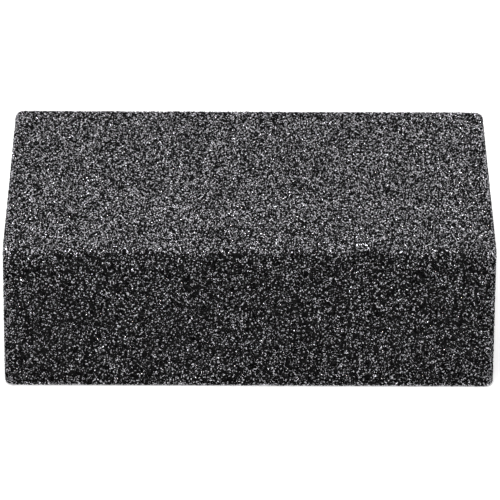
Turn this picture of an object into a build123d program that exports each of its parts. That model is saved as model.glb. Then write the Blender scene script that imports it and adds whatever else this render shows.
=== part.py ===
"""Sanding sponge: one rectangular foam block with abrasive grit bonded to its four long faces.

The grit coat runs round the block and laps over both ends, where it stops in a narrow rim. Inside
that rim the cut end of the foam is bare, and lies lower than the coat by the coat's thickness.

Millimetres. The origin is the centre of the bottom face, +X runs along the block and +Z points up.
"""

import os

from build123d import *

# The block, measured over the grit
block_length = 98.0
block_width = 69.0
block_height = 30.2
corner_radius = 2.2
edge_radius = 0.9

# The coat where it laps onto an end
coat_thickness = 0.4
rim_width = 1.3
foam_corner_radius = 2.4

# The bare foam stays inside the rounded edges and the coat's flat rim
foam_width = block_width - 2 * (corner_radius + rim_width)
foam_height = block_height - 2 * (edge_radius + rim_width)
# The coat ends in a quarter-round roll, half as deep as the coat
rim_radius = coat_thickness / 2

os.makedirs("parts", exist_ok=True)

with BuildPart() as sanding_sponge:
    # The foam block with its coat: soft edges all round, because the grit never holds a sharp one
    with BuildSketch(Plane.XY):
        RectangleRounded(block_length, block_width, corner_radius)
    extrude(amount=block_height)
    flat_faces = sanding_sponge.faces().filter_by(Axis.Z)
    fillet(flat_faces.edges(), radius=edge_radius)

    # The bare foam at each end, as deep as the coat is thick
    for facing in (-1, 1):
        end_plane = Plane(
            origin=(facing * block_length / 2, 0, block_height / 2),
            x_dir=(0, 1, 0),
            z_dir=(facing, 0, 0),
        )
        with BuildSketch(end_plane):
            RectangleRounded(foam_width, foam_height, foam_corner_radius)
        extrude(amount=-coat_thickness, mode=Mode.SUBTRACT)

    # The coat's own edge round the bare foam
    coat_ends = sanding_sponge.faces().filter_by(Axis.X).group_by(Axis.X)
    for rim_face in (coat_ends[0][0], coat_ends[-1][0]):
        fillet(rim_face.inner_wires()[0].edges(), radius=rim_radius)

sanding_sponge.part.label = "sanding_sponge"
export_step(sanding_sponge.part, "parts/sanding_sponge.step")
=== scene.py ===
"""Sanding sponge: resin coat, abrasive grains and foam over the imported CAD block.

All lengths are in metres, in the CAD's frame.
"""

import math

import bpy
import numpy as np
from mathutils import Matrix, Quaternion, Vector


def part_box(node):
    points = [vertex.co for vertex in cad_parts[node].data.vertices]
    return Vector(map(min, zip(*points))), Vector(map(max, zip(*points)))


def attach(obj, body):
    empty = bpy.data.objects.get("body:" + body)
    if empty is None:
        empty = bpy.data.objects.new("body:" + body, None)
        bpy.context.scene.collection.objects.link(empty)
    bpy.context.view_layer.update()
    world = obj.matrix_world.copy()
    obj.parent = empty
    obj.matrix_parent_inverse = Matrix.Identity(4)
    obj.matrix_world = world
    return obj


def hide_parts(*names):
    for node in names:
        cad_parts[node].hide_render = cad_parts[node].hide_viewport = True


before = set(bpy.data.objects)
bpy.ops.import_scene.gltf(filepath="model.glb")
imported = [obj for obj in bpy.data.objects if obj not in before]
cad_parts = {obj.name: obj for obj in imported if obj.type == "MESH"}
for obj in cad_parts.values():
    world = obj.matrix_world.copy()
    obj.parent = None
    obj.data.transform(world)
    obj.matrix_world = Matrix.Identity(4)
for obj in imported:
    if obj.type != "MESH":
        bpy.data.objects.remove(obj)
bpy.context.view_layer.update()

MM = 0.001
NODE = "sanding_sponge"

# The block, as in the CAD
LOW, HIGH = (np.array(corner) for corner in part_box(NODE))
CENTRE = (LOW + HIGH) / 2
HALF = (HIGH - LOW) / 2
CORNER_RADIUS = 2.2 * MM
EDGE_RADIUS = 0.9 * MM
RIM_WIDTH = 1.3 * MM
RECESS = 0.4 * MM
ROLL = RECESS / 2
FOAM_CORNER = 2.4 * MM
FOAM_HALF = HALF[1:] - RIM_WIDTH - np.array([CORNER_RADIUS, EDGE_RADIUS])

# The resin coat under the grains; its grey runs from none to twice this
COAT_INSET = 0.240 * MM
COAT_STEP = 1.5 * MM
COAT_THICKNESS = 0.8 * MM
CORNER_STEPS = 6
RESIN_PATCH = 0.5 * MM
RESIN_ROUGHNESS = 0.6
RESIN_GREY = 0.0081

# The grains: distance apart, radius, spread of size, of shape and of corners, height as a part
# of width, how far they may lie below the surface, how far they stray and how far apart their
# rows are, in parts of a step
SPACING = 0.404 * MM
GRAIN = 0.268 * MM
SIZE_SPREAD = 0.21
STRETCH = 0.22
WEAR = 0.2
UPRIGHT = 1.67
BURIED = 0.039 * MM
JITTER = 0.50
ROW_STEP = math.sqrt(0.75)
SEED = 7
# Cells of one grey on the grains: their size, and the greys from the darkest share of the cells
# to the palest. The glints are white and mirror the light.
FINE_CELLS = (0.250 * MM, [(0.0, 0.0016), (0.712, 0.0177), (0.822, 0.75)])
GLINT_CELLS = (0.280 * MM, [(0.957, 0.0), (0.967, 1.0)])
GRAIN_ROUGHNESS = 0.13
GRAIN_SPECULAR = 0.0
GRAIN_TINT = (0.96, 0.945, 1.0)

# The open foam at the two ends
FOAM_STEP = 0.19 * MM
FOAM_TUCK = 0.6 * MM
# Pores cut into the mesh: distance apart, least and greatest radius as parts of that distance,
# and the share that is there
PORES = [(2.6 * MM, 0.12, 0.30, 0.5), (1.2 * MM, 0.18, 0.42, 0.8), (0.6 * MM, 0.30, 0.55, 0.8)]
PORE_DEPTH = 0.9
# The foam's grey by depth in millimetres, a painted shade that darkens it deeper in the pores, and
# how much of it the small cells keep by the distance from a cell's wall, a painted shade that
# darkens their middles
PORE_DEPTH_SHADE_GREYS = [(0.0, 0.16), (0.15, 0.12), (0.35, 0.04), (0.8, 0.01)]
FOAM_CELL = 0.5 * MM
CELL_SHADE_GREYS = [(0.0, 1.0), (0.12, 0.9), (0.3, 0.2), (0.6, 0.08)]
FOAM_TINT = (1.0, 1.0, 1.03)
FOAM_ROUGHNESS = 0.8
FOAM_SPECULAR = 0.1
# Each end has half of the foam's flat map, less a small gap
END_MAP = (0.5, 0.49)

# Lamps: place, width and height, watts
LAMPS = {
    "lamp_over": ((-0.05, -0.36, 0.87), (0.54, 0.38), 8.44),
    "lamp_back": ((-0.10, 0.50, 0.40), (0.50, 0.40), 1.01),
    "lamp_front": ((0.00, -0.80, 0.20), (0.60, 0.30), 1.27),
}
AMBIENT = 0.12
# The floor: its grey, and between two distances from the middle how much it glows to the camera
FLOOR_GREY = 0.85
FLOOR_ROUGHNESS = 0.9
FLOOR_FADE = (0.1, 0.5)
FLOOR_LIFT = (0.5, 1.0)
FLOOR_HALF = 4.0

# The camera: lens and sensor in millimetres, then where it stands and what it aims at
LENS, SENSOR = 370.5, 36.0
DISTANCE = 1.0547
ELEVATION = math.radians(25.42)
AZIMUTH = math.radians(-0.185)
CAMERA_ROLL = math.radians(0.29)
AIM_RIGHT, AIM_DOWN = 0.19 * MM, 0.95 * MM
CLIP_START, CLIP_END = 0.05, 20.0


def mesh_piece(name, points, faces):
    """A mesh object from an array of points and an array of faces of one size."""
    mesh = bpy.data.meshes.new(name)
    corners = faces.shape[1]
    mesh.vertices.add(len(points))
    mesh.vertices.foreach_set("co", np.asarray(points, np.float32).ravel())
    mesh.loops.add(faces.size)
    mesh.loops.foreach_set("vertex_index", faces.astype(np.int32).ravel())
    mesh.polygons.add(len(faces))
    mesh.polygons.foreach_set("loop_start", np.arange(0, faces.size, corners, dtype=np.int32))
    mesh.update(calc_edges=True)
    mesh.validate()
    piece = bpy.data.objects.new(name, mesh)
    bpy.context.collection.objects.link(piece)
    return piece


def set_map(piece, uv):
    """Gives each face corner its place on the piece's own flat map, from 0 to 1."""
    layer = piece.data.uv_layers.new(name="OFBake")
    layer.data.foreach_set("uv", np.asarray(uv, np.float32).ravel())


def finish_piece(piece, material):
    """Every piece of the sponge rides on its one body."""
    piece.data.materials.append(material)
    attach(piece, "root")


def ring_faces(grid):
    """The four corners of every square of a grid, whatever the grid holds."""
    return np.stack([grid[:-1, :-1], grid[:-1, 1:], grid[1:, 1:], grid[1:, :-1]], 2)


# ---- The resin coat: a sleeve that laps over both ends and rolls in to the foam ----


def outline(half_y, half_z, radius):
    """A ring of points round a rounded rectangle, with as many points whatever its size."""
    quarter = np.linspace(0, math.pi / 2, CORNER_STEPS + 1)
    arcs = []
    for k, (side_y, side_z) in enumerate([(1, 1), (-1, 1), (-1, -1), (1, -1)]):
        angle = quarter + k * math.pi / 2
        arc_y = side_y * (half_y - radius) + radius * np.cos(angle)
        arc_z = side_z * (half_z - radius) + radius * np.sin(angle)
        arcs.append(np.stack([arc_y, arc_z], -1))
    ring = []
    for k, arc in enumerate(arcs):
        steps = round(2 * HALF[1 + k % 2] / COAT_STEP)
        along = np.linspace(0, 1, steps + 1)[1:-1, None]
        following = arcs[(k + 1) % 4][0]
        ring += [arc, arc[-1] + along * (following - arc[-1])]
    return np.concatenate(ring)


def rounded(points):
    """Moves points of the plain box onto the rounded block, and gives the way out at each."""
    plan = points[:, :2]
    centre = plan.clip(CORNER_RADIUS - HALF[:2], HALF[:2] - CORNER_RADIUS)
    away = plan - centre
    far = np.linalg.norm(away, axis=1, keepdims=True).clip(1e-9)
    plan_core = centre + away * np.minimum(1, (CORNER_RADIUS - EDGE_RADIUS) / far)
    height_core = points[:, 2:].clip(EDGE_RADIUS - HALF[2], HALF[2] - EDGE_RADIUS)
    core = np.hstack([plan_core, height_core])
    outward = points - core
    outward /= np.linalg.norm(outward, axis=1, keepdims=True)
    return core + outward * EDGE_RADIUS, outward


def coat_rings():
    """Rings of one half, from the middle to the coat's inside: x, outline, and if it is rounded."""
    side = (HALF[1], HALF[2], EDGE_RADIUS)
    face = HALF[0]
    steps = round(face / COAT_STEP)
    rings = [(x, *side, True) for x in np.linspace(0, face - CORNER_RADIUS, steps)]
    for left in np.linspace(CORNER_RADIUS, 0, 2 * CORNER_STEPS)[1:]:
        rings.append((face - left, *side, True))
    opening = (*(FOAM_HALF + ROLL), FOAM_CORNER + ROLL)
    for part in np.linspace(0, 1, 2 * CORNER_STEPS)[1:-1]:
        between = [near + part * (far - near) for near, far in zip(side, opening)]
        rings.append((face, *between, True))
    for angle in np.linspace(0, math.pi / 2, CORNER_STEPS):
        reach = ROLL * (1 - math.sin(angle))
        depth = COAT_INSET + ROLL * (1 - math.cos(angle))
        rings.append((face - depth, *(FOAM_HALF + reach), FOAM_CORNER + reach, False))
    behind = face - RECESS - COAT_THICKNESS
    rings.append((face - RECESS - COAT_INSET, *FOAM_HALF, FOAM_CORNER, False))
    rings.append((behind, *(HALF[1:] - COAT_INSET - COAT_THICKNESS), EDGE_RADIUS, False))
    return rings


def coat_sleeve():
    """Closed: outside from end to end, round each rim, and back along the inside."""
    half = coat_rings()
    rings = [(-x, *rest) for x, *rest in reversed(half[1:])] + half
    points = []
    for x, half_y, half_z, radius, on_surface in rings:
        ring = outline(half_y, half_z, radius)
        ring = np.column_stack([np.full(len(ring), x), ring])
        if on_surface:
            surface, outward = rounded(ring)
            ring = surface - outward * COAT_INSET
        points.append(ring)
    points = np.stack(points)
    count, around = points.shape[:2]
    index = np.pad(np.arange(count * around).reshape(count, around), ((0, 1), (0, 1)), mode="wrap")
    piece = mesh_piece("coat", points.reshape(-1, 3) + CENTRE, ring_faces(index).reshape(-1, 4))
    piece.data.polygons.foreach_set("use_smooth", np.ones(count * around, bool))
    across, along = np.meshgrid(np.arange(around + 1) / around, np.arange(count + 1) / count)
    set_map(piece, ring_faces(np.stack([across, along], -1)))
    return piece


# ---- The grains: small closed shards on every coated side ----

SHARD = np.array([[1, 1, 1], [1, -1, -1], [-1, 1, -1], [-1, -1, 1]]) / math.sqrt(3)
SHARD_FACES = np.array([[0, 1, 2], [0, 2, 3], [0, 3, 1], [1, 3, 2]])
# The axis that each side faces, and which way
SIDES = {
    "top": (2, 1),
    "bottom": (2, -1),
    "front": (1, -1),
    "back": (1, 1),
    "left": (0, -1),
    "right": (0, 1),
}


def in_plane(axis):
    """The two axes that a side's plane has."""
    return [other for other in range(3) if other != axis]


def side_points(axis, sign, rng):
    """Jittered rows of points on one side of the plain box, every second row half a step along."""
    a, b = in_plane(axis)
    rows = round(2 * HALF[b] / (SPACING * ROW_STEP))
    columns = round(2 * HALF[a] / SPACING)
    row, column = np.meshgrid(np.arange(rows), np.arange(columns), indexing="ij")
    u = (column + 0.25 + 0.5 * (row % 2) + rng.uniform(-JITTER, JITTER, row.shape)) / columns
    v = (row + 0.5 + rng.uniform(-JITTER, JITTER, row.shape)) / rows
    points = np.empty((row.size, 3))
    points[:, axis] = sign * HALF[axis]
    points[:, a] = (2 * u.clip(0, 1).ravel() - 1) * HALF[a]
    points[:, b] = (2 * v.clip(0, 1).ravel() - 1) * HALF[b]
    return points


def on_rim(points):
    """Which points of an end lie outside the foam's opening."""
    corner = np.abs(points[:, 1:]) - (FOAM_HALF - FOAM_CORNER)
    outside = np.linalg.norm(corner.clip(0), axis=1) + corner.max(axis=1).clip(None, 0)
    return outside > FOAM_CORNER + ROLL


def random_turns(count, rng):
    """Rotation matrices of random unit quaternions."""
    quaternion = rng.normal(size=(count, 4))
    w, x, y, z = (quaternion / np.linalg.norm(quaternion, axis=1, keepdims=True)).T
    rows = [
        [1 - 2 * (y * y + z * z), 2 * (x * y - z * w), 2 * (x * z + y * w)],
        [2 * (x * y + z * w), 1 - 2 * (x * x + z * z), 2 * (y * z - x * w)],
        [2 * (x * z - y * w), 2 * (y * z + x * w), 1 - 2 * (x * x + y * y)],
    ]
    return np.moveaxis(np.array(rows), 2, 0)


def grains(name, axis, sign, rng):
    """Shards of random size, shape and turn, whose tips stay inside the CAD's surface."""
    points = side_points(axis, sign, rng)
    if axis == 0:
        points = points[on_rim(points)]
    at, outward = rounded(points)
    count, corners = len(at), len(SHARD)
    size = GRAIN * rng.uniform(1 - SIZE_SPREAD, 1 + SIZE_SPREAD, (count, 1, 1))
    shape = rng.uniform(1 - STRETCH, 1 + STRETCH, (count, 1, 3))
    wear = rng.uniform(1 - WEAR, 1 + WEAR, (count, corners, 1))
    shards = np.einsum("nij,nkj->nki", random_turns(count, rng), SHARD * size * shape * wear)
    height = np.einsum("nki,ni->nk", shards, outward)
    shards += (UPRIGHT - 1) * height[..., None] * outward[:, None]
    height *= UPRIGHT
    sink = height.max(axis=1) + rng.uniform(0, BURIED, count)
    shards += (at - outward * sink[:, None])[:, None]
    shards = shards.clip(-HALF, HALF)
    faces = SHARD_FACES + corners * np.arange(count)[:, None, None]
    piece = mesh_piece(name, shards.reshape(-1, 3) + CENTRE, faces.reshape(-1, 3))
    a, b = in_plane(axis)
    flat = shards[:, SHARD_FACES][..., [a, b]] / (2 * HALF[[a, b]]) + 0.5
    set_map(piece, flat)
    return piece


# ---- The foam: one block whose two ends are cut open ----


def pore_field(y, z, rng):
    """How deep the surface is at each point: round pores of several sizes, cut into each other."""
    depth = np.zeros(y.shape)
    for spacing, low, high, share in PORES:
        rows = int(2 * HALF[2] / spacing) + 4
        columns = int(2 * HALF[1] / spacing) + 4
        centre = rng.uniform(0, 1, (rows, columns, 2))
        radius = spacing * rng.uniform(low, high, (rows, columns))
        radius *= rng.uniform(0, 1, radius.shape) < share
        column = (y + HALF[1]) / spacing + 1.5
        row = (z + HALF[2]) / spacing + 1.5
        for step_row in (-1, 0, 1):
            for step_column in (-1, 0, 1):
                i = np.floor(row).astype(int) + step_row
                j = np.floor(column).astype(int) + step_column
                away_y = (column - j - centre[i, j, 0]) * spacing
                away_z = (row - i - centre[i, j, 1]) * spacing
                inside = radius[i, j] ** 2 - away_y**2 - away_z**2
                depth = np.maximum(depth, np.sqrt(inside.clip(0)))
    return depth


def foam_core(rng):
    """Closed: two grids of the ends, joined along their edges by long hidden strips."""
    half = FOAM_HALF + FOAM_TUCK
    columns, rows = (round(2 * side / FOAM_STEP) + 1 for side in half)
    z, y = np.meshgrid(
        np.linspace(-half[1], half[1], rows), np.linspace(-half[0], half[0], columns), indexing="ij"
    )
    face = HALF[0] - RECESS
    points, faces, depths = [], [], []
    for end, sign in enumerate((-1, 1)):
        depth = pore_field(y, z, rng) * PORE_DEPTH
        points.append(np.stack([sign * (face - depth), y, z], -1).reshape(-1, 3))
        index = np.arange(rows * columns).reshape(rows, columns)
        quads = ring_faces(index + end * rows * columns).reshape(-1, 4)
        faces.append(quads if sign > 0 else quads[:, ::-1])
        depths.append(depth.ravel())
    edge = np.concatenate([index[0, :-1], index[:-1, -1], index[-1, :0:-1], index[:0:-1, 0]])
    ahead = np.roll(edge, -1)
    other = rows * columns
    faces.append(np.stack([edge, ahead, ahead + other, edge + other], -1))
    faces = np.concatenate(faces)
    points = np.concatenate(points)
    piece = mesh_piece("foam_core", points + CENTRE, faces)
    layer = piece.data.attributes.new("pore_depth", "FLOAT", "POINT")
    layer.data.foreach_set("value", (np.concatenate(depths) / MM).astype(np.float32))
    corner = points[faces]
    start, width = END_MAP
    u = (corner[..., 1] / (2 * half[0]) + 0.5) * width + start * (corner[..., 0] > 0)
    v = corner[..., 2] / (2 * half[1]) + 0.5
    set_map(piece, np.stack([u, v], -1))
    return piece


# ---- Materials ----


def new_material(name):
    """A material with its nodes and its shader."""
    material = bpy.data.materials.new(name)
    material.use_nodes = True
    return material, material.node_tree, material.node_tree.nodes["Principled BSDF"]


def grey_ramp(tree, stops, tint=(1, 1, 1)):
    """A colour ramp of greys, all with one tint."""
    node = tree.nodes.new("ShaderNodeValToRGB")
    ramp = node.color_ramp
    while len(ramp.elements) < len(stops):
        ramp.elements.new(0.5)
    for element, (position, grey) in zip(ramp.elements, stops):
        element.position = position
        element.color = (grey * tint[0], grey * tint[1], grey * tint[2], 1)
    return node


def resin_material():
    """Near black and matt, a little uneven."""
    material, tree, shader = new_material("resin")
    noise = tree.nodes.new("ShaderNodeTexNoise")
    noise.inputs["Scale"].default_value = 1 / RESIN_PATCH
    place = tree.nodes.new("ShaderNodeTexCoord")
    ramp = grey_ramp(tree, [(0.35, 0.0), (0.65, RESIN_GREY * 2)])
    tree.links.new(place.outputs["Object"], noise.inputs["Vector"])
    tree.links.new(noise.outputs["Fac"], ramp.inputs["Fac"])
    tree.links.new(ramp.outputs["Color"], shader.inputs["Base Color"])
    shader.inputs["Roughness"].default_value = RESIN_ROUGHNESS
    shader.inputs["Specular IOR Level"].default_value = 0.0
    return material


def cell_greys(tree, place, cell, stops):
    """Greys that change from one small cell to the next, in the shares that the stops give."""
    cells = tree.nodes.new("ShaderNodeTexVoronoi")
    cells.inputs["Scale"].default_value = 1 / cell
    split = tree.nodes.new("ShaderNodeSeparateColor")
    ramp = grey_ramp(tree, stops, GRAIN_TINT)
    tree.links.new(place.outputs["Object"], cells.inputs["Vector"])
    tree.links.new(cells.outputs["Color"], split.inputs["Color"])
    tree.links.new(split.outputs["Red"], ramp.inputs["Fac"])
    return ramp.outputs["Color"]


def grain_material():
    """Matt dark mineral with pale faces, and among them the few that mirror the light."""
    material, tree, shader = new_material("grains")
    place = tree.nodes.new("ShaderNodeTexCoord")
    palest = tree.nodes.new("ShaderNodeVectorMath")
    palest.operation = "MAXIMUM"
    tree.links.new(cell_greys(tree, place, *FINE_CELLS), palest.inputs[0])
    glints = cell_greys(tree, place, *GLINT_CELLS)
    tree.links.new(glints, palest.inputs[1])
    tree.links.new(glints, shader.inputs["Metallic"])
    tree.links.new(palest.outputs["Vector"], shader.inputs["Base Color"])
    shader.inputs["Roughness"].default_value = GRAIN_ROUGHNESS
    shader.inputs["Specular IOR Level"].default_value = GRAIN_SPECULAR
    return material


def foam_material():
    """Dark hollows between paler walls: the large ones cut in the mesh and darkened with depth by
    painted shade, the small ones only painted shade in the colour.
    """
    material, tree, shader = new_material("foam")
    place = tree.nodes.new("ShaderNodeTexCoord")
    cells = tree.nodes.new("ShaderNodeTexVoronoi")
    cells.feature = "DISTANCE_TO_EDGE"
    cells.inputs["Scale"].default_value = 1 / FOAM_CELL
    # Painted shade: each small cell is darker towards its middle and paler at its walls, with no
    # hollow in the mesh
    small = grey_ramp(tree, CELL_SHADE_GREYS)
    depth = tree.nodes.new("ShaderNodeAttribute")
    depth.attribute_name = "pore_depth"
    # Painted shade: the foam is darker the deeper a point lies in a pore
    large = grey_ramp(tree, PORE_DEPTH_SHADE_GREYS, FOAM_TINT)
    both = tree.nodes.new("ShaderNodeVectorMath")
    both.operation = "MULTIPLY"
    tree.links.new(place.outputs["Object"], cells.inputs["Vector"])
    tree.links.new(cells.outputs["Distance"], small.inputs["Fac"])
    tree.links.new(depth.outputs["Fac"], large.inputs["Fac"])
    tree.links.new(small.outputs["Color"], both.inputs[0])
    tree.links.new(large.outputs["Color"], both.inputs[1])
    tree.links.new(both.outputs["Vector"], shader.inputs["Base Color"])
    shader.inputs["Roughness"].default_value = FOAM_ROUGHNESS
    shader.inputs["Specular IOR Level"].default_value = FOAM_SPECULAR
    return material


# ---- Camera, lamps and floor ----


def add_camera():
    """A camera in front of the block and above it, rolled a little."""
    data = bpy.data.cameras.new("camera")
    data.sensor_width, data.lens = SENSOR, LENS
    data.clip_start, data.clip_end = CLIP_START, CLIP_END
    camera = bpy.data.objects.new("camera", data)
    bpy.context.collection.objects.link(camera)
    level = math.cos(ELEVATION)
    back = Vector((level * math.sin(AZIMUTH), -level * math.cos(AZIMUTH), math.sin(ELEVATION)))
    turn = (-back).to_track_quat("-Z", "Y")
    right, up = turn @ Vector((1, 0, 0)), turn @ Vector((0, 1, 0))
    aim = Vector(CENTRE) + right * AIM_RIGHT - up * AIM_DOWN
    camera.location = aim + back * DISTANCE
    camera.rotation_mode = "QUATERNION"
    camera.rotation_quaternion = turn @ Quaternion((0, 0, 1), CAMERA_ROLL)
    bpy.context.scene.camera = camera


def add_lamp(name, place, size, watts):
    """A soft rectangular lamp that faces the block."""
    data = bpy.data.lights.new(name, "AREA")
    data.shape, data.size, data.size_y = "RECTANGLE", *size
    data.energy = watts
    lamp = bpy.data.objects.new(name, data)
    lamp.location = place
    lamp.rotation_mode = "QUATERNION"
    lamp.rotation_quaternion = (Vector(CENTRE) - Vector(place)).to_track_quat("-Z", "Y")
    bpy.context.collection.objects.link(lamp)


def seen_by_camera(tree):
    """1 for what the camera sees directly, in a gloss or through glass, and 0 for other light."""
    path = tree.nodes.new("ShaderNodeLightPath")
    seen = path.outputs["Is Camera Ray"]
    for ray in ("Is Glossy Ray", "Is Transmission Ray"):
        either = tree.nodes.new("ShaderNodeMath")
        either.operation = "MAXIMUM"
        tree.links.new(seen, either.inputs[0])
        tree.links.new(path.outputs[ray], either.inputs[1])
        seen = either.outputs["Value"]
    return seen


def add_floor():
    """A pale floor that the camera sees as white, with the block's shadow kept."""
    mesh = bpy.data.meshes.new("floor")
    signs = ((-1, -1), (1, -1), (1, 1), (-1, 1))
    mesh.from_pydata([(FLOOR_HALF * x, FLOOR_HALF * y, 0) for x, y in signs], [], [(0, 1, 2, 3)])
    floor = bpy.data.objects.new("floor", mesh)
    bpy.context.collection.objects.link(floor)
    material, tree, shader = new_material("floor")
    shader.inputs["Base Color"].default_value = (FLOOR_GREY, FLOOR_GREY, FLOOR_GREY, 1)
    shader.inputs["Roughness"].default_value = FLOOR_ROUGHNESS
    shader.inputs["Specular IOR Level"].default_value = 0.0
    place = tree.nodes.new("ShaderNodeTexCoord")
    away = tree.nodes.new("ShaderNodeVectorMath")
    away.operation = "LENGTH"
    lift = tree.nodes.new("ShaderNodeMapRange")
    for socket, value in zip(("From Min", "From Max", "To Min", "To Max"), FLOOR_FADE + FLOOR_LIFT):
        lift.inputs[socket].default_value = value
    strength = tree.nodes.new("ShaderNodeMath")
    strength.operation = "MULTIPLY"
    glow = tree.nodes.new("ShaderNodeEmission")
    both = tree.nodes.new("ShaderNodeAddShader")
    tree.links.new(place.outputs["Object"], away.inputs[0])
    tree.links.new(away.outputs["Value"], lift.inputs["Value"])
    tree.links.new(lift.outputs["Result"], strength.inputs[0])
    tree.links.new(seen_by_camera(tree), strength.inputs[1])
    tree.links.new(strength.outputs["Value"], glow.inputs["Strength"])
    tree.links.new(shader.outputs["BSDF"], both.inputs[0])
    tree.links.new(glow.outputs["Emission"], both.inputs[1])
    tree.links.new(both.outputs["Shader"], tree.nodes["Material Output"].inputs["Surface"])
    mesh.materials.append(material)


def add_world():
    """White to the camera, and a weak even light to everything else."""
    world = bpy.data.worlds.new("world")
    bpy.context.scene.world = world
    world.use_nodes = True
    tree = world.node_tree
    background = tree.nodes["Background"]
    background.inputs["Color"].default_value = (1, 1, 1, 1)
    strength = tree.nodes.new("ShaderNodeMapRange")
    strength.inputs["To Min"].default_value = AMBIENT
    strength.inputs["To Max"].default_value = 1.0
    tree.links.new(seen_by_camera(tree), strength.inputs["Value"])
    tree.links.new(strength.outputs["Result"], background.inputs["Strength"])


def add_sponge():
    """The coat, the grains of each side and the foam, with one run of random draws."""
    rng = np.random.default_rng(SEED)
    coat = coat_sleeve()
    finish_piece(coat, resin_material())
    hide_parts(NODE)
    material = grain_material()
    for side, (axis, sign) in SIDES.items():
        finish_piece(grains(f"grains_{side}", axis, sign, rng), material)
    foam = foam_core(rng)
    finish_piece(foam, foam_material())


add_sponge()
add_camera()
add_floor()
add_world()
for lamp_name, lamp in LAMPS.items():
    add_lamp(lamp_name, *lamp)
bpy.context.scene.view_settings.view_transform = "Standard"
